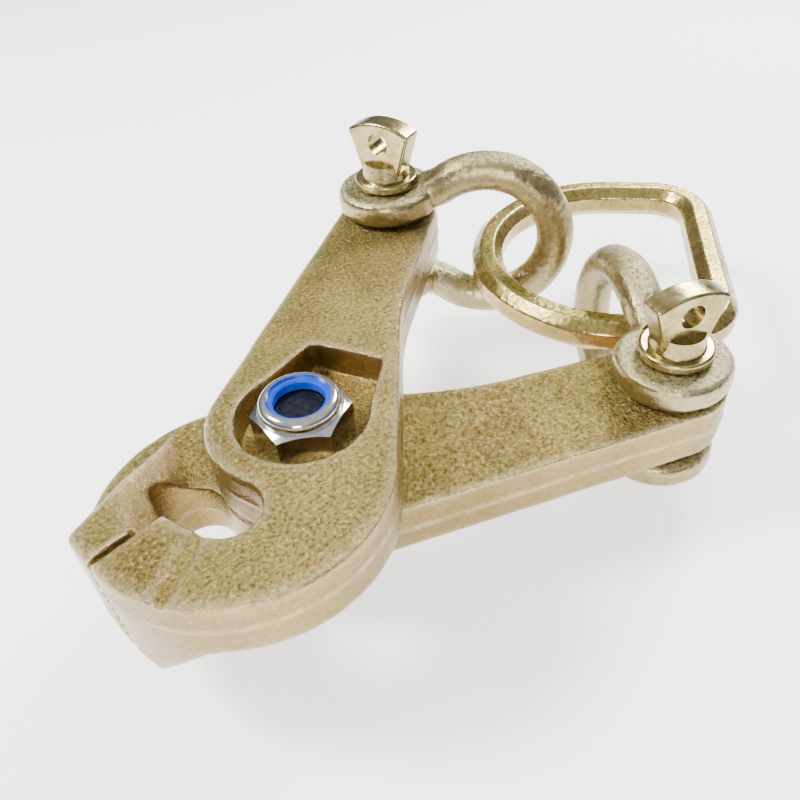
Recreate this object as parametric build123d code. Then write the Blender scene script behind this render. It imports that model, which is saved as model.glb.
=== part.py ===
from build123d import *
import math
import os

# Scissor pull clamp. Millimetres, +Z up.
# Origin: centre of the closed bite, between the two jaws. +X runs along the clamp from the bite
# to the pull ring, and the jaws meet on the plane y = 0.
# The two arms are one forging: the lower arm is the upper arm turned half a turn about the X axis.

# ---- driving dimensions ----
pivot_to_bite = 50.0        # pivot axis to the origin, in the middle of the bite
pivot_to_pin = 102.0        # pivot axis to each shackle pin
tail_angle = 32.0           # each tail's angle to the clamp's axis, jaws closed, degrees
arm_thickness = 17.2        # one arm's plate
arm_gap = 0.3               # between the two plates
eye_radius = 16.5           # round end of a tail
hub_radius = 24.5           # round of the plate about the pivot, on the throat's side
hook_radius = 37.2          # round of the jaw's back
hook_centre = (-22.0, -3.0) # from the pivot
tail_inner_angle = 30.5     # direction of the tail's inner edge near the eye, degrees
hook_edge_angle = 43.4      # direction of the edge that leads into the hook, degrees
tail_bend_radius = 90.0     # between those two edges
edge_round = 2.2            # rounding along the plate's outer edges

# jaw
bite_back = -40.7           # inner end of the bite, from the pivot
bite_gap = 0.4              # between the closed tooth tips
throat_radius = 7.6
throat_angle = 197.8        # direction of the throat's centre from the pivot, degrees
tooth_pitch = 3.3
tooth_depth = 1.1
tooth_width = 1.7
tooth_count = 10

# block behind the teeth, which runs down past the other arm's plate
ramp_angle = 205.0          # direction of its slope towards the hub, degrees
ramp_foot = 31.6            # from the pivot along that direction: where the slope leaves the plate
ramp_head = 45.0            # and where it reaches the block's full height
shoulder_angle = 252.0      # the same three for the slope on the jaw's outer side
shoulder_foot = 40.5
shoulder_head = 27.0
slope_foot_round = 5.0      # hollow between each slope and the plate
block_round = 3.0           # along the block's full-height face

# valley that sets the rounded pad at the jaw's tip apart from the arm's outer face
valley_middle = (-44.8, -14.6)
valley_angle = 27.0
valley_radius = 1.8
valley_depth = 1.4

# nut pocket in each arm's outer face
pocket_radius = 16.5
pocket_depth = 9.2
pocket_reach = 25.5         # pivot axis to the pocket's flat end
pocket_end_width = 21.0
pocket_angle = 21.0         # direction of the flat end, degrees

# pivot bolt M14 with a nylon-insert nut
bolt_radius = 7.0
bolt_head_flats = 21.0
bolt_head_height = 8.8
nut_flats = 22.0
nut_height = 14.0
nut_hex_height = 10.6
nut_collar_inset = 0.8      # round collar, inside the flats
nut_lip_width = 1.0         # seat of the nylon ring, past the thread's radius
nylon_bite = 0.6            # nylon ring's hole, inside the thread's radius
nylon_thickness = 2.6
nylon_recess = 0.8          # below the lip's top
nut_angle = 22.0            # the nut's turn, degrees
running_clearance = 0.07    # radial, every pin in its hole
seat_gap = 0.3              # between faces that slide on each other

# shackles, half-inch screw-pin bow type
shackle_pin_radius = 8.0
jaw_slack = 3.4             # the ears' inside width, over the tail's thickness
shackle_bar_radius = 6.35
bow_bulge = 13.7            # the bow's inside width, over the ears'
shackle_length = 49.8       # pin axis to the inside of the crown
bow_swing = 125.0           # the bow's round arc, each way from the crown, degrees
ear_radius = 16.5
ear_thickness = 9.0
boss_clearance = 1.2        # radial, round a pin's collar
ear_round = 3.0
pin_collar_width = 2.25     # past the pin's radius
pin_collar_thickness = 3.0
pin_neck_height = 4.5
pin_neck_taper = 1.2
pin_eye_height = 11.0       # above the collar
pin_head_height = 17.5      # above the collar
pin_head_width = 22.0
pin_head_thickness = 7.5
pin_eye_radius = 3.5
pin_end_length = 2.0        # past the lower ear
pin_hole_clearance = 0.08   # radial, in both ears and in the tail's eye
upper_shackle_turn = -3.42  # crown's direction, from the direction of the ring's middle
lower_shackle_turn = 4.14
upper_head_angle = 103.0    # direction of the pin head's flat
lower_head_angle = -27.0

# pull ring
ring_width = 98.0           # outside, along the straight bar
ring_depth = 86.0           # outside, across the bar
ring_bar = 11.0             # section across
ring_height = 11.5          # section up
ring_chamfer = 3.2
ring_corner_radius = 15.5   # centre line of the two corners beside the straight bar
ring_angle = -55.0          # direction from the ring's middle to its straight bar
ring_reach = 70.33          # each shackle pin to the ring's middle, measured on the clamp's axis
ring_offset = -0.7          # and to the side of the clamp's axis
ring_drop = 1.6             # below the level midway between the two shackles

plate_bottom = arm_gap / 2
plate_top = plate_bottom + arm_thickness
plate_middle = plate_bottom + arm_thickness / 2
shackle_jaw = arm_thickness + jaw_slack
shackle_bow_width = shackle_jaw + bow_bulge
pin_collar_radius = shackle_pin_radius + pin_collar_width
nut_collar_radius = nut_flats / 2 - nut_collar_inset
nut_lip_radius = bolt_radius + nut_lip_width
nylon_hole_radius = bolt_radius - nylon_bite
nut_bottom = plate_top - pocket_depth + seat_gap


def polar(radius, degrees, centre=(0, 0)):
    angle = math.radians(degrees)
    return (centre[0] + radius * math.cos(angle), centre[1] + radius * math.sin(angle))


eye = polar(pivot_to_pin, tail_angle)


# ---- the arm forging, drawn as the upper arm with the pivot axis at the origin ----
bite_plane = -bite_gap / 2
throat = polar(hub_radius + throat_radius, throat_angle)


def unit(degrees):
    return Vector(*polar(1, degrees))


def lines_meet(angle_a, point_a, angle_b, point_b):
    """Point where two lines cross, each given by a direction and a point on it."""
    way_a, way_b = unit(angle_a), unit(angle_b)
    gap = Vector(*point_b) - Vector(*point_a)
    along = (gap.X * way_b.Y - gap.Y * way_b.X) / (way_a.X * way_b.Y - way_a.Y * way_b.X)
    return Vector(*point_a) + way_a * along


def arm_outline():
    """Outline of the plate: lines and arcs that run smoothly into each other, but for the bite."""
    left_angle = tail_angle - math.degrees(math.asin((hub_radius - eye_radius) / pivot_to_pin))
    hub_left = polar(hub_radius, left_angle + 90)
    eye_left = polar(eye_radius, left_angle + 90, eye)
    eye_right = polar(eye_radius, tail_inner_angle - 90, eye)
    hook_edge = polar(hook_radius, hook_edge_angle - 90, hook_centre)
    bend = lines_meet(tail_inner_angle, eye_right, hook_edge_angle, hook_edge)
    turn = hook_edge_angle - tail_inner_angle
    reach = tail_bend_radius * math.tan(math.radians(turn / 2))
    bend_start = bend + unit(tail_inner_angle) * reach
    bend_end = bend - unit(hook_edge_angle) * reach
    bend_centre = bend_start + unit(tail_inner_angle - 90) * tail_bend_radius
    bend_middle = bend_centre + unit((tail_inner_angle + hook_edge_angle) / 2 + 90) * tail_bend_radius
    front = (hook_centre[0] - math.sqrt(hook_radius**2 - (bite_plane - hook_centre[1])**2), bite_plane)
    inner = (bite_back, bite_plane)
    to_inner = Vector(*inner) - Vector(*throat)
    lean = math.degrees(math.acos(throat_radius / to_inner.length))
    throat_left = polar(throat_radius, math.degrees(math.atan2(to_inner.Y, to_inner.X)) + lean, throat)
    hub_to_throat = polar(hub_radius, throat_angle)
    return make_face([
        ThreePointArc(hub_to_throat, polar(hub_radius, 150), hub_left),
        Line(hub_left, eye_left),
        ThreePointArc(eye_left, polar(eye_radius, tail_angle, eye), eye_right),
        Line(eye_right, bend_start),
        ThreePointArc(bend_start, bend_middle, bend_end),
        Line(bend_end, hook_edge),
        ThreePointArc(hook_edge, polar(hook_radius, 240, hook_centre), front),
        Line(front, inner),
        Line(inner, throat_left),
        ThreePointArc(throat_left, polar(throat_radius, 270, throat), hub_to_throat),
    ])


def slope_cut(foot, head, angle, outward):
    """Everything under the plate on one side of the jaw block, up to the block's slope."""
    below = -plate_top - 5
    past_head = head + (head - foot) * 5 / (plate_top + plate_bottom)
    run_out = foot - outward * 2 * pivot_to_pin
    profile = make_face(Polyline((foot, plate_bottom), (past_head, below), (run_out, below),
                                 (run_out, plate_bottom), close=True))
    corner = profile.vertices().sort_by_distance((foot, plate_bottom))[0]
    profile = fillet(corner, slope_foot_round)
    side = Plane(origin=(0, 0, 0), x_dir=unit(angle), z_dir=unit(angle - 90))
    return extrude(side * profile, amount=2 * pivot_to_pin, both=True)


def arm_body():
    """Plate with the jaw's block, which runs down past the other arm's plate behind the teeth."""
    body = extrude(Pos(0, 0, -plate_top) * arm_outline(), amount=2 * plate_top)
    body = fillet(body.faces().sort_by(Axis.Z)[-1].edges(), edge_round)
    body -= slope_cut(ramp_foot, ramp_head, ramp_angle, 1)
    body -= slope_cut(shoulder_foot, shoulder_head, shoulder_angle, -1)
    foot_edges = body.faces().sort_by(Axis.Z)[0].edges()
    outer = [edge for edge in foot_edges if abs((edge @ 0.5).Y - bite_plane) > 0.1]
    return fillet(outer, block_round)


def pocket():
    """Recess for the nut or the bolt head: a round with a flat end towards the tail."""
    round_part = Circle(pocket_radius)
    far = pocket_end_width / 2
    near = pocket_radius * 0.98
    flat_part = Rot(0, 0, pocket_angle) * make_face(
        Polyline((0, -near), (pocket_reach, -far), (pocket_reach, far), (0, near), close=True))
    shape = Pos(0, 0, plate_top - pocket_depth) * (round_part + flat_part)
    return extrude(shape, amount=pocket_depth + 1)


def teeth():
    """Grooves along the bite face; the two arms' grooves face each other."""
    grooves = []
    for number in range(tooth_count):
        height = (number - (tooth_count - 1) / 2) * tooth_pitch
        grooves.append(Pos(-pivot_to_bite, bite_plane, height) * Box(40, 2 * tooth_depth, tooth_width))
    return grooves


def tip_valley():
    """Round-bottomed valley across the jaw's outer face."""
    middle = Pos(*valley_middle, plate_top + valley_radius - valley_depth)
    return middle * Rot(0, 0, valley_angle) * Rot(0, 90, 0) * Cylinder(valley_radius, 40)


def make_arm():
    arm = arm_body()
    arm -= pocket()
    arm -= Cylinder(bolt_radius + running_clearance, 4 * arm_thickness)
    arm -= Pos(*eye) * Cylinder(shackle_pin_radius + pin_hole_clearance, 4 * arm_thickness)
    arm -= tip_valley()
    for groove in teeth():
        arm -= groove
    return arm


def hexagon(flats, height):
    return extrude(RegularPolygon(flats / 2, 6, major_radius=False), amount=height)


def make_bolt():
    """Hex-head bolt, head down in the lower arm's pocket."""
    seat = -(plate_top - pocket_depth)
    head = Pos(0, 0, seat - bolt_head_height) * hexagon(bolt_head_flats, bolt_head_height)
    head &= Pos(0, 0, seat - bolt_head_height) * Cone(bolt_head_flats / 2 - 0.5, bolt_head_flats / 2 - 0.5
        + bolt_head_height * 1.7, bolt_head_height, align=(Align.CENTER, Align.CENTER, Align.MIN))
    shank_top = nut_bottom + nut_height - nylon_recess - nylon_thickness - 0.3
    shank = Pos(0, 0, seat) * Cylinder(bolt_radius, shank_top - seat,
                                       align=(Align.CENTER, Align.CENTER, Align.MIN))
    shank = chamfer(shank.edges().sort_by(Axis.Z)[-1], 1.0)
    return head + shank


def make_nut():
    """Hex nut with a round collar, rolled over the nylon ring."""
    chamfer_cone = Cone(nut_flats / 2 + nut_hex_height * 1.7, nut_flats / 2 - 0.3, nut_hex_height,
                        align=(Align.CENTER, Align.CENTER, Align.MIN))
    hex_part = hexagon(nut_flats, nut_hex_height) & chamfer_cone
    collar = Cylinder(nut_collar_radius, nut_height, align=(Align.CENTER, Align.CENTER, Align.MIN))
    collar = fillet(collar.edges().sort_by(Axis.Z)[-1], 2.0)
    nut = hex_part + collar
    nut -= Cylinder(bolt_radius + 0.01, 3 * nut_height)
    seat = nut_height - nylon_recess - nylon_thickness
    nut -= Pos(0, 0, seat) * Cylinder(nut_lip_radius, nut_height,
                                      align=(Align.CENTER, Align.CENTER, Align.MIN))
    return Pos(0, 0, nut_bottom) * nut


def make_insert():
    ring = Cylinder(nut_lip_radius, nylon_thickness, align=(Align.CENTER, Align.CENTER, Align.MIN))
    ring -= Cylinder(nylon_hole_radius, 3 * nylon_thickness)
    top_edges = ring.edges().filter_by(GeomType.CIRCLE).group_by(Axis.Z)[-1]
    ring = chamfer(top_edges.sort_by(SortBy.LENGTH)[0], 0.5)
    return Pos(0, 0, nut_bottom + nut_height - nylon_recess - nylon_thickness) * ring


# ---- shackles, drawn with the pin on Z, the crown towards +X and the jaw's middle at z = 0 ----
bow_radius = shackle_bow_width / 2 + shackle_bar_radius
bow_centre = shackle_length + shackle_bar_radius - bow_radius
ear_middle = (shackle_jaw + ear_thickness) / 2
leg_height = shackle_jaw / 2 + shackle_bar_radius    # the bar runs flush with the ear's inside


def make_bow():
    swing = math.radians(bow_swing)
    arc_end = bow_centre + bow_radius * math.cos(swing)
    arc_height = bow_radius * math.sin(swing)
    leg_turn = swing - math.pi / 2
    leg_radius = (arc_height - leg_height) / (1 - math.cos(leg_turn))
    leg_start = arc_end - leg_radius * math.sin(leg_turn)
    knee = (leg_start + leg_radius * math.sin(leg_turn / 2),
            leg_height + leg_radius * (1 - math.cos(leg_turn / 2)))
    path = Plane.XZ * Wire([
        Line((0, leg_height), (leg_start, leg_height)),
        ThreePointArc((leg_start, leg_height), knee, (arc_end, arc_height)),
        ThreePointArc((arc_end, arc_height), (bow_centre + bow_radius, 0), (arc_end, -arc_height)),
        ThreePointArc((arc_end, -arc_height), (knee[0], -knee[1]), (leg_start, -leg_height)),
        Line((leg_start, -leg_height), (0, -leg_height)),
    ])
    section = Plane(origin=path @ 0, z_dir=path % 0) * Circle(shackle_bar_radius)
    bow = sweep(section, path=path)
    for way in (1, -1):
        spot_face = Cylinder(pin_collar_radius + boss_clearance, 2 * ear_thickness)
        bow -= Pos(0, 0, way * (shackle_jaw / 2 + 2 * ear_thickness)) * spot_face
        ear = Pos(0, 0, way * ear_middle) * Cylinder(ear_radius, ear_thickness)
        ear = fillet(ear.edges().filter_by(GeomType.CIRCLE), ear_round)
        bow += ear
    bow -= Cylinder(shackle_pin_radius + pin_hole_clearance, 4 * ear_middle)
    return bow


def make_pin():
    """Screw pin: shank, thin collar, neck and a flattened fan-shaped head with an eye."""
    seat = shackle_jaw / 2 + ear_thickness + seat_gap / 2
    length = seat + shackle_jaw / 2 + ear_thickness + pin_end_length
    pin = Pos(0, 0, seat) * Cylinder(shackle_pin_radius, length,
                                     align=(Align.CENTER, Align.CENTER, Align.MAX))
    pin = chamfer(pin.edges().sort_by(Axis.Z)[0], 1.2)
    collar = Pos(0, 0, seat) * Cylinder(pin_collar_radius, pin_collar_thickness,
                                        align=(Align.CENTER, Align.CENTER, Align.MIN))
    pin += fillet(collar.edges().filter_by(GeomType.CIRCLE), 0.9)
    base = seat + pin_collar_thickness
    neck_top = shackle_pin_radius - pin_neck_taper
    neck = Pos(0, 0, base - 0.5) * Cone(shackle_pin_radius, neck_top, pin_neck_height + 0.5,
                                        align=(Align.CENTER, Align.CENTER, Align.MIN))
    low = base + 0.5
    half = pin_head_width / 2
    top_side = base + pin_head_height - 3
    fan = make_face([
        Line((-neck_top + 0.3, low), (neck_top - 0.3, low)),
        Line((neck_top - 0.3, low), (half, top_side)),
        ThreePointArc((half, top_side), (0, base + pin_head_height), (-half, top_side)),
        Line((-half, top_side), (-neck_top + 0.3, low)),
    ])
    head = extrude(Plane.XZ * fan, amount=pin_head_thickness / 2, both=True)
    head = fillet(head.edges().filter_by(Axis.Y), 1.0)
    head = fillet(head.faces().filter_by(Axis.Y).edges(), 0.9)
    pin += neck
    pin += head
    pin -= Pos(0, 0, base + pin_eye_height) * Rot(90, 0, 0) * Cylinder(pin_eye_radius, 40)
    return pin


# ---- pull ring, drawn with its straight bar towards +X ----
def ring_loop(inset):
    """The ring's outline, moved in from its outer edge."""
    half_width = ring_width / 2 - inset
    half_depth = ring_depth / 2 - inset
    corner = ring_corner_radius + ring_bar / 2 - inset
    round_centre = -ring_depth / 2 + ring_width / 2
    loop = make_face([
        Line((half_depth, -half_width + corner), (half_depth, half_width - corner)),
        ThreePointArc((half_depth, half_width - corner),
                      polar(corner, 45, (half_depth - corner, half_width - corner)),
                      (half_depth - corner, half_width)),
        Line((half_depth - corner, half_width), (round_centre, half_width)),
        ThreePointArc((round_centre, half_width), (-half_depth, 0), (round_centre, -half_width)),
        Line((round_centre, -half_width), (half_depth - corner, -half_width)),
        ThreePointArc((half_depth - corner, -half_width),
                      polar(corner, -45, (half_depth - corner, corner - half_width)),
                      (half_depth, -half_width + corner)),
    ])
    return loop


def make_ring():
    flat = ring_loop(0) - ring_loop(ring_bar)
    ring = extrude(Pos(0, 0, -ring_height / 2) * flat, amount=ring_height)
    edges = ring.edges().group_by(Axis.Z)
    return chamfer(edges[0] + edges[-1], ring_chamfer)


# ---- assembly ----
turn_over = Rot(180, 0, 0)
shackle_drop = seat_gap - shackle_jaw / 2      # middle of a shackle's jaw, from its tail's top face
upper_middle = plate_top + shackle_drop
lower_middle = -plate_bottom + shackle_drop
upper_pin_at = Pos(*eye, upper_middle)
lower_pin_at = Pos(eye[0], -eye[1], lower_middle)
ring_x = eye[0] + math.sqrt(ring_reach**2 - eye[1]**2)
ring_at = Pos(ring_x, ring_offset, (upper_middle + lower_middle) / 2 - ring_drop)


def towards_ring(pin_y):
    return math.degrees(math.atan2(ring_offset - pin_y, ring_x - eye[0]))


upper_crown = towards_ring(eye[1]) + upper_shackle_turn
lower_crown = towards_ring(-eye[1]) + lower_shackle_turn

arm = make_arm()
bow = make_bow()
pin = make_pin()
parts = {
    "upper_arm": arm,
    "lower_arm": turn_over * arm,
    "pivot_bolt": make_bolt(),
    "pivot_nut": Rot(0, 0, nut_angle) * make_nut(),
    "nylon_insert": make_insert(),
    "upper_shackle_bow": upper_pin_at * Rot(0, 0, upper_crown) * bow,
    "upper_shackle_pin": upper_pin_at * Rot(0, 0, upper_head_angle) * pin,
    "lower_shackle_bow": lower_pin_at * Rot(0, 0, lower_crown) * bow,
    "lower_shackle_pin": lower_pin_at * Rot(0, 0, lower_head_angle) * pin,
    "pull_ring": ring_at * Rot(0, 0, ring_angle) * make_ring(),
}

os.makedirs("parts", exist_ok=True)
for name, shape in parts.items():
    export_step(Pos(pivot_to_bite, 0, 0) * shape, f"parts/{name}.step")
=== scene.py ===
import math
import bpy
import bmesh
from mathutils import Matrix, Vector, noise


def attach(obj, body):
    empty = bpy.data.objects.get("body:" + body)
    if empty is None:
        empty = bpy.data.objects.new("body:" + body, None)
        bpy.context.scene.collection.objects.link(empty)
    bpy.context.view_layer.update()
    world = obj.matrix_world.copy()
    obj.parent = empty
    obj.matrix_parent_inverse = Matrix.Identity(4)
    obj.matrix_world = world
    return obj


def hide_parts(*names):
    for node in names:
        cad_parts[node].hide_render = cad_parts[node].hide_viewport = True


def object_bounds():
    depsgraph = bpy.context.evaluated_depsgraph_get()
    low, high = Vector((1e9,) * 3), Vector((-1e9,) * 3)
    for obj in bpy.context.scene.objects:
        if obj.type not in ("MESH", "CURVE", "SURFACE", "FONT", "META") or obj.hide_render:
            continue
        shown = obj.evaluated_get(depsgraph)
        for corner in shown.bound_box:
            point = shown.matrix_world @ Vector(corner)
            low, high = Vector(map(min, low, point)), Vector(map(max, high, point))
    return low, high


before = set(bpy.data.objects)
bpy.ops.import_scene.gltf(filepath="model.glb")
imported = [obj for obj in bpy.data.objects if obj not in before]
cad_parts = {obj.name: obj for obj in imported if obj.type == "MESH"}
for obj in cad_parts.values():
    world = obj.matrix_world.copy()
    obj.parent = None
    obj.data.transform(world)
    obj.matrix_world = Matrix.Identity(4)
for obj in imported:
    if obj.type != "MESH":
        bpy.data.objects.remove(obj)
cad_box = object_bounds()

MM = 0.001

# ---- camera ----
CAMERA_AT = (-25.6, -116.9, 141.1)     # mm, from the middle of the bite
HEADING = 45.7                         # degrees from +X
PITCH = 43.8                           # degrees down
ROLL = -4.25
SENSOR_WIDTH = 36                      # mm
FOCAL = 753.3 * SENSOR_WIDTH / 800     # mm
SHIFT = (-0.019, 0.030)                # shares of the frame's width

# ---- forgings ----
ARM_SKIN = 0.6            # voxel, mm
BAR_SKIN = 0.55           # voxel of the bows and the ring, mm
ARM_SOFTENING = 14        # smoothing passes
BOW_SOFTENING = 5
RING_SOFTENING = 3
PLATE_MIDDLE = 8.75       # mm above or below the plane between the two arms
FLASH_HEIGHT = 0.42       # mm
FLASH_HALF_WIDTH = 0.9    # mm
ARM_INSET = 0.26          # mm, so that the uneven skin stays within the solid's box

# ---- floor and lights, in metres ----
FLOOR_REACH = 6.0
LIGHTS_AIM = (0.09, 0.0, 0.0)
LAMP_SIZE = 0.25


def rgb(r, g, b):
    return (r, g, b, 1.0)


WORN = rgb(0.80, 0.68, 0.42)
PIT = rgb(0.04, 0.025, 0.008)
FLECK = rgb(0.80, 0.66, 0.36)
# painted shade: a dark gold laid on the upright walls to stand in for the shadow on them
WALL_PAINTED_SHADE = rgb(0.25, 0.17, 0.06)


def add_camera():
    heading = math.radians(HEADING)
    pitch = math.radians(PITCH)
    roll = math.radians(ROLL)
    ahead = Vector((math.cos(pitch) * math.cos(heading), math.cos(pitch) * math.sin(heading),
                    -math.sin(pitch)))
    right = Vector((math.sin(heading), -math.cos(heading), 0))
    up = right.cross(ahead)
    side = right * math.cos(roll) + up * math.sin(roll)
    top = up * math.cos(roll) - right * math.sin(roll)
    turn = Matrix((side, top, -ahead)).transposed()
    data = bpy.data.cameras.new("camera")
    data.lens = FOCAL
    data.sensor_width = SENSOR_WIDTH
    data.shift_x, data.shift_y = SHIFT
    data.clip_start = 0.005
    data.clip_end = 20
    camera = bpy.data.objects.new("camera", data)
    camera.matrix_world = Matrix.Translation(Vector(CAMERA_AT) * MM) @ turn.to_4x4()
    bpy.context.collection.objects.link(camera)
    bpy.context.scene.camera = camera


# ---- materials ----
class Nodes:
    """Short names for building one material's nodes. Noise scales are per metre."""

    def __init__(self, name):
        self.material = bpy.data.materials.new(name)
        self.material.use_nodes = True
        self.tree = self.material.node_tree
        self.shader = self.tree.nodes["Principled BSDF"]
        self.place = self.add("ShaderNodeTexCoord").outputs["Object"]

    def add(self, kind, **inputs):
        node = self.tree.nodes.new(kind)
        for key, value in inputs.items():
            node.inputs[key].default_value = value
        return node

    def link(self, source, target):
        self.tree.links.new(source, target)

    def feed(self, socket, value):
        """Sets a constant on the socket, or links another node's output to it."""
        if isinstance(value, (tuple, float, int)):
            socket.default_value = value
        else:
            self.link(value, socket)

    def noise(self, scale, detail=3.0, roughness=0.55):
        node = self.add("ShaderNodeTexNoise", Scale=scale, Detail=detail, Roughness=roughness)
        self.link(self.place, node.inputs["Vector"])
        return node.outputs["Fac"]

    def ramp(self, source, low, high, start=0.0, end=1.0):
        """source from low to high, mapped onto start to end."""
        node = self.add("ShaderNodeMapRange")
        node.inputs["From Min"].default_value = low
        node.inputs["From Max"].default_value = high
        node.inputs["To Min"].default_value = start
        node.inputs["To Max"].default_value = end
        self.link(source, node.inputs["Value"])
        return node.outputs["Result"]

    def mix(self, factor, a, b):
        node = self.tree.nodes.new("ShaderNodeMix")
        node.data_type = "RGBA"
        self.feed(node.inputs["Factor"], factor)
        self.feed(node.inputs["A"], a)
        self.feed(node.inputs["B"], b)
        return node.outputs["Result"]

    def math(self, operation, a, b):
        node = self.add("ShaderNodeMath")
        node.operation = operation
        self.feed(node.inputs[0], a)
        self.feed(node.inputs[1], b)
        return node.outputs["Value"]

    def times(self, a, b):
        return self.math("MULTIPLY", a, b)

    def attribute(self, name):
        node = self.add("ShaderNodeAttribute")
        node.attribute_name = name
        return node.outputs["Fac"]

    def bump(self, height, distance, strength=1.0, under=None):
        node = self.add("ShaderNodeBump", Distance=distance, Strength=strength)
        self.link(height, node.inputs["Height"])
        if under is not None:
            self.link(under, node.inputs["Normal"])
        return node.outputs["Normal"]

    def up_or_down(self):
        """1 on faces that look up or down, and 0 on walls."""
        split = self.add("ShaderNodeSeparateXYZ")
        self.link(self.add("ShaderNodeNewGeometry").outputs["Normal"], split.inputs[0])
        return self.ramp(self.math("ABSOLUTE", split.outputs["Z"], 0.0), 0.55, 0.9)


def plated(name, gold, pale, pink, green, grain, grain_depth, rough, pinkness):
    """Yellow zinc plating on a forging: gold grain, iridescent drift, bright worn edges and painted
    shade that darkens the upright walls.

    grain and grain_depth are in mm, and pinkness is the share of pink on the walls.
    """
    n = Nodes(name)
    gold_drift = n.ramp(n.noise(38, 2.0), 0.38, 0.62)
    green_drift = n.ramp(n.noise(62, 2.0, 0.5), 0.42, 0.66)
    level = n.up_or_down()
    wall = n.math("SUBTRACT", 1.0, level)
    pink_drift = n.times(n.ramp(n.noise(30, 3.0, 0.6), 0.40, 0.60), pinkness)
    pink_share = n.times(pink_drift, n.math("ADD", n.times(wall, 0.8), 0.2))
    colour = n.mix(gold_drift, gold, pale)
    colour = n.mix(pink_share, colour, pink)
    colour = n.mix(n.times(green_drift, 0.45), colour, green)
    # painted shade: the upright walls are darkened towards this colour by their slope
    colour = n.mix(n.times(wall, 0.45), colour, WALL_PAINTED_SHADE)

    fine = n.noise(1 / (grain * MM), 4.0, 0.65)
    grainy = n.math("ADD", n.times(level, 0.75), 0.25)
    pits = n.times(n.ramp(fine, 0.50, 0.36), 0.8)
    flecks = n.times(n.ramp(fine, 0.56, 0.68), 0.6)
    colour = n.mix(n.times(pits, grainy), colour, PIT)
    colour = n.mix(n.times(flecks, grainy), colour, FLECK)
    wear = n.times(n.attribute("edge"), n.ramp(n.noise(420, 3.0), 0.35, 0.6, 0.45, 1.0))
    colour = n.mix(wear, colour, WORN)
    n.link(colour, n.shader.inputs["Base Color"])
    n.shader.inputs["Metallic"].default_value = 0.95

    patches = n.ramp(n.noise(110, 3.0), 0.3, 0.7, rough - 0.07, rough + 0.07)
    roughness = n.math("ADD", patches, n.times(level, 0.08))
    roughness = n.math("SUBTRACT", roughness, n.times(wear, 0.10))
    n.link(roughness, n.shader.inputs["Roughness"])
    waves = n.bump(n.noise(300, 3.0), 0.00035, 0.5)
    n.link(n.bump(n.times(fine, grainy), grain_depth * MM, 1.0, waves), n.shader.inputs["Normal"])
    return n.material


def smooth_metal(name, colour, dark, rough, scale=240, depth=0.05):
    """Machined or plated metal with faint patches. depth is in mm."""
    n = Nodes(name)
    patches = n.ramp(n.noise(scale, 4.0, 0.6), 0.35, 0.65)
    n.link(n.mix(patches, colour, dark), n.shader.inputs["Base Color"])
    n.shader.inputs["Metallic"].default_value = 1.0
    roughness = n.ramp(n.noise(scale * 1.7, 3.0), 0.3, 0.7, rough - 0.06, rough + 0.08)
    n.link(roughness, n.shader.inputs["Roughness"])
    n.link(n.bump(n.noise(900, 3.0), depth * MM), n.shader.inputs["Normal"])
    return n.material


def nylon(name):
    n = Nodes(name)
    patches = n.ramp(n.noise(400, 2.0), 0.4, 0.6)
    n.link(n.mix(patches, rgb(0.002, 0.05, 0.50), rgb(0.003, 0.07, 0.62)),
           n.shader.inputs["Base Color"])
    n.shader.inputs["Roughness"].default_value = 0.28
    n.link(n.bump(n.noise(1500, 2.0), 0.00003), n.shader.inputs["Normal"])
    return n.material


GOLD = plated("forging_plating",
              gold=rgb(0.22, 0.155, 0.036), pale=rgb(0.37, 0.28, 0.075),
              pink=rgb(0.45, 0.25, 0.13), green=rgb(0.22, 0.21, 0.045),
              grain=1.0, grain_depth=0.95, rough=0.27, pinkness=0.85)
SHACKLE = plated("shackle_plating",
                 gold=rgb(0.34, 0.29, 0.14), pale=rgb(0.52, 0.47, 0.28),
                 pink=rgb(0.55, 0.43, 0.27), green=rgb(0.34, 0.31, 0.12),
                 grain=1.0, grain_depth=0.55, rough=0.28, pinkness=0.4)
RING = plated("ring_plating",
              gold=rgb(0.35, 0.25, 0.05), pale=rgb(0.48, 0.38, 0.10),
              pink=rgb(0.60, 0.38, 0.20), green=rgb(0.32, 0.31, 0.03),
              grain=1.3, grain_depth=0.20, rough=0.24, pinkness=0.7)
PIN = smooth_metal("pin_plating", rgb(0.50, 0.41, 0.20), rgb(0.28, 0.22, 0.08), 0.24)
NUT = smooth_metal("nut_zinc", rgb(0.70, 0.70, 0.70), rgb(0.55, 0.55, 0.56), 0.13, 500, 0.02)
BOLT = smooth_metal("bolt_end", rgb(0.035, 0.04, 0.05), rgb(0.02, 0.022, 0.03), 0.45, 700, 0.10)
NYLON = nylon("nylon_blue")


# ---- forged pieces: a close voxel skin of each CAD solid, softened as a forging is ----
def apply_modifiers(piece):
    graph = bpy.context.evaluated_depsgraph_get()
    graph.update()
    mesh = bpy.data.meshes.new_from_object(piece.evaluated_get(graph))
    piece.modifiers.clear()
    piece.data = mesh


def skin_of(node, name, voxel, soften, keep_sharp=None):
    """soften is how many times the skin is smoothed; keep_sharp(point in mm) is 1 where it isn't."""
    piece = bpy.data.objects.new(name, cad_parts[node].data.copy())
    piece.data.materials.clear()
    bpy.context.collection.objects.link(piece)
    remesh = piece.modifiers.new("skin", "REMESH")
    remesh.mode = "VOXEL"
    remesh.voxel_size = voxel * MM
    apply_modifiers(piece)
    smooth = piece.modifiers.new("soften", "SMOOTH")
    smooth.factor = 0.5
    smooth.iterations = soften
    if keep_sharp:
        group = piece.vertex_groups.new(name="rounded")
        for vertex in piece.data.vertices:
            group.add([vertex.index], 1 - keep_sharp(vertex.co / MM), "REPLACE")
        smooth.vertex_group = group.name
    apply_modifiers(piece)
    piece.vertex_groups.clear()
    for polygon in piece.data.polygons:
        polygon.use_smooth = True
    return piece


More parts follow.
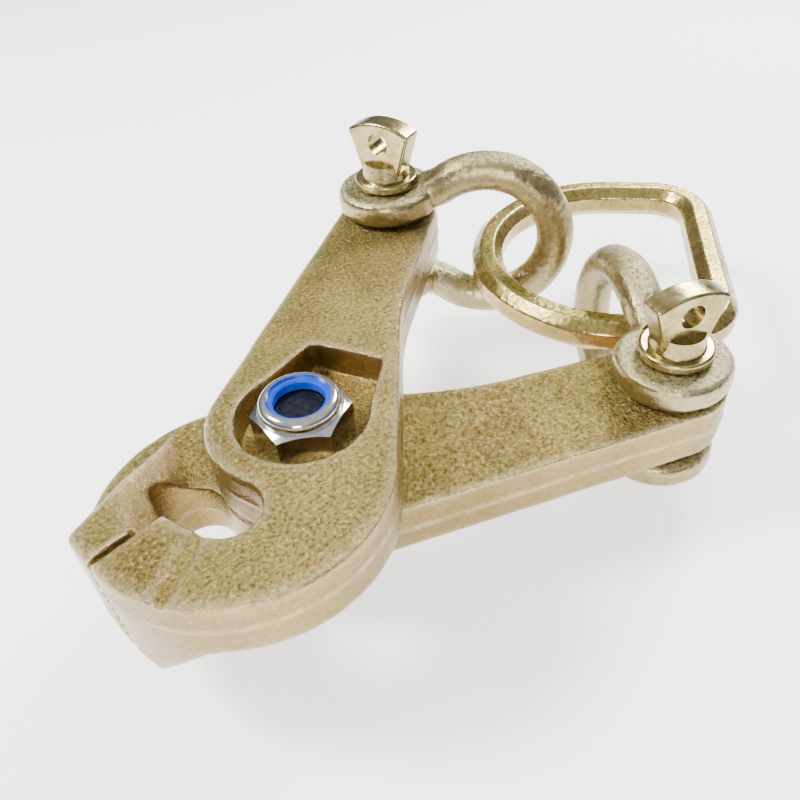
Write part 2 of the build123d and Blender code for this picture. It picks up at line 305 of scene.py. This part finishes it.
def outwardness(vertex):
    """How far the vertex stands out from its neighbours, as a share of their distance."""
    near = [edge.other_vert(vertex).co for edge in vertex.link_edges]
    count = max(1, len(near))
    middle = sum(near, Vector()) / count
    reach = sum((point - vertex.co).length for point in near) / count
    return max(0.0, (vertex.co - middle).dot(vertex.normal) / max(reach, 1e-9))


def mark_edges(piece, gain, blur=2):
    """A point attribute that is 1 on outward edges, for the bright wear there."""
    shape = bmesh.new()
    shape.from_mesh(piece.data)
    values = {vertex.index: outwardness(vertex) for vertex in shape.verts}
    for step in range(blur):
        values = {v.index: (values[v.index] + sum(values[e.other_vert(v).index] for e in v.link_edges))
                  / (1 + len(v.link_edges)) for v in shape.verts}
    shape.free()
    layer = piece.data.attributes.new("edge", "FLOAT", "POINT")
    layer.data.foreach_set("value", [min(1.0, values[i] * gain) for i in range(len(values))])


def move_points(piece, rule):
    """Moves each point along its normal by what rule(point, normal) gives, in mm."""
    mesh = piece.data
    normals = [vertex.normal.copy() for vertex in mesh.vertices]
    for vertex, normal in zip(mesh.vertices, normals):
        vertex.co += normal * (rule(vertex.co / MM, normal) * MM)
    mesh.update()


def flash_ridge(above):
    """Height of the raised line that the dies leave, this far above its middle."""
    away = abs(above) / FLASH_HALF_WIDTH
    return FLASH_HEIGHT * max(0.0, 1 - away * away)


def near_teeth(at):
    """1 within 2 mm of the bite's plane, where the teeth stay crisp, and 0 from 4 mm away."""
    return min(1.0, max(0.0, (4 - abs(at.y)) / 2)) if at.x < 14 else 0.0


def forged_arm(node, plate_middle):
    """The flash ridge follows every upright wall, those of the bores among them."""
    piece = skin_of(node, node + "_forging", ARM_SKIN, ARM_SOFTENING, near_teeth)

    def rule(at, normal):
        wall = max(0.0, 1 - abs(normal.z) * 1.6)
        uneven = 0.14 * noise.noise(at * 0.09) + 0.06 * noise.noise(at * 0.35)
        line = flash_ridge(at.z - plate_middle - 0.5 * math.sin(at.x * 0.07)) * wall
        line *= 0.55 + 0.45 * noise.noise(at * 0.2)
        return uneven - ARM_INSET + line

    move_points(piece, rule)
    mark_edges(piece, 5.0)
    return piece


def forged_bar(node, name, soften, uneven, fine, inset, gain):
    """uneven, fine and inset are in mm."""
    piece = skin_of(node, name, BAR_SKIN, soften)

    def rule(at, normal):
        return uneven * noise.noise(at * 0.11) + fine * noise.noise(at * 0.5) - inset

    move_points(piece, rule)
    mark_edges(piece, gain)
    return piece


def forged_bow(node, name):
    return forged_bar(node, name, BOW_SOFTENING, uneven=0.24, fine=0.12, inset=0.22, gain=2.0)


def forged_ring(node, name):
    return forged_bar(node, name, RING_SOFTENING, uneven=0.14, fine=0.05, inset=0.10, gain=4.0)


def place(piece, node, body, material):
    piece.data.materials.clear()
    piece.data.materials.append(material)
    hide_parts(node)
    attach(piece, body)


def repaint(node, material, bevel=0.0):
    """bevel is in mm."""
    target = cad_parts[node]
    target.data.materials.clear()
    target.data.materials.append(material)
    if bevel:
        rounding = target.modifiers.new("rounding", "BEVEL")
        rounding.width = bevel * MM
        rounding.segments = 2
        rounding.limit_method = "ANGLE"
        rounding.angle_limit = math.radians(35)


def make_clamp():
    place(forged_arm("upper_arm", PLATE_MIDDLE), "upper_arm", "upper_arm", GOLD)
    place(forged_arm("lower_arm", -PLATE_MIDDLE), "lower_arm", "base", GOLD)
    for side in ("upper", "lower"):
        bow = forged_bow(side + "_shackle_bow", side + "_bow_forging")
        place(bow, side + "_shackle_bow", side + "_shackle", SHACKLE)
    place(forged_ring("pull_ring", "ring_forging"), "pull_ring", "ring", RING)
    repaint("upper_shackle_pin", PIN)
    repaint("lower_shackle_pin", PIN)
    repaint("pivot_nut", NUT, 0.25)
    repaint("pivot_bolt", BOLT)
    repaint("nylon_insert", NYLON, 0.2)


# ---- floor, light and air ----
def add_floor():
    height = cad_box[0].z
    reach = FLOOR_REACH
    mesh = bpy.data.meshes.new("floor")
    corners = [(-reach, -reach, height), (reach, -reach, height),
               (reach, reach, height), (-reach, reach, height)]
    mesh.from_pydata(corners, [], [(0, 1, 2, 3)])
    material = bpy.data.materials.new("floor_white")
    material.use_nodes = True
    inputs = material.node_tree.nodes["Principled BSDF"].inputs
    inputs["Base Color"].default_value = rgb(0.93, 0.93, 0.93)
    inputs["Roughness"].default_value = 0.9
    inputs["Specular IOR Level"].default_value = 0.1
    inputs["Emission Color"].default_value = rgb(1, 1, 1)
    inputs["Emission Strength"].default_value = 1.6
    mesh.materials.append(material)
    floor = bpy.data.objects.new("floor", mesh)
    bpy.context.collection.objects.link(floor)


def add_lamp(name, at, power):
    data = bpy.data.lights.new(name, "AREA")
    data.shape = "DISK"
    data.size = LAMP_SIZE
    data.energy = power
    light = bpy.data.objects.new(name, data)
    light.location = at
    light.rotation_euler = (Vector(LIGHTS_AIM) - Vector(at)).to_track_quat("-Z", "Y").to_euler()
    bpy.context.collection.objects.link(light)


def add_air():
    """A sky that is dark near the horizon and white overhead."""
    world = bpy.data.worlds.new("air")
    bpy.context.scene.world = world
    world.use_nodes = True
    tree = world.node_tree
    direction = tree.nodes.new("ShaderNodeTexCoord")
    split = tree.nodes.new("ShaderNodeSeparateXYZ")
    shade = tree.nodes.new("ShaderNodeValToRGB")
    low, high = shade.color_ramp.elements
    low.position = 0.05
    low.color = rgb(0.05, 0.05, 0.05)
    high.position = 0.75
    high.color = rgb(1.0, 1.0, 1.0)
    background = tree.nodes["Background"]
    background.inputs["Strength"].default_value = 0.75
    tree.links.new(direction.outputs["Generated"], split.inputs[0])
    tree.links.new(split.outputs["Z"], shade.inputs[0])
    tree.links.new(shade.outputs["Color"], background.inputs["Color"])


make_clamp()
add_floor()
add_lamp("key", (-0.30, 0.45, 0.70), 15)
add_lamp("side", (0.70, 0.10, 0.45), 8)
add_lamp("front", (-0.50, -0.45, 0.30), 4)
add_air()
add_camera()
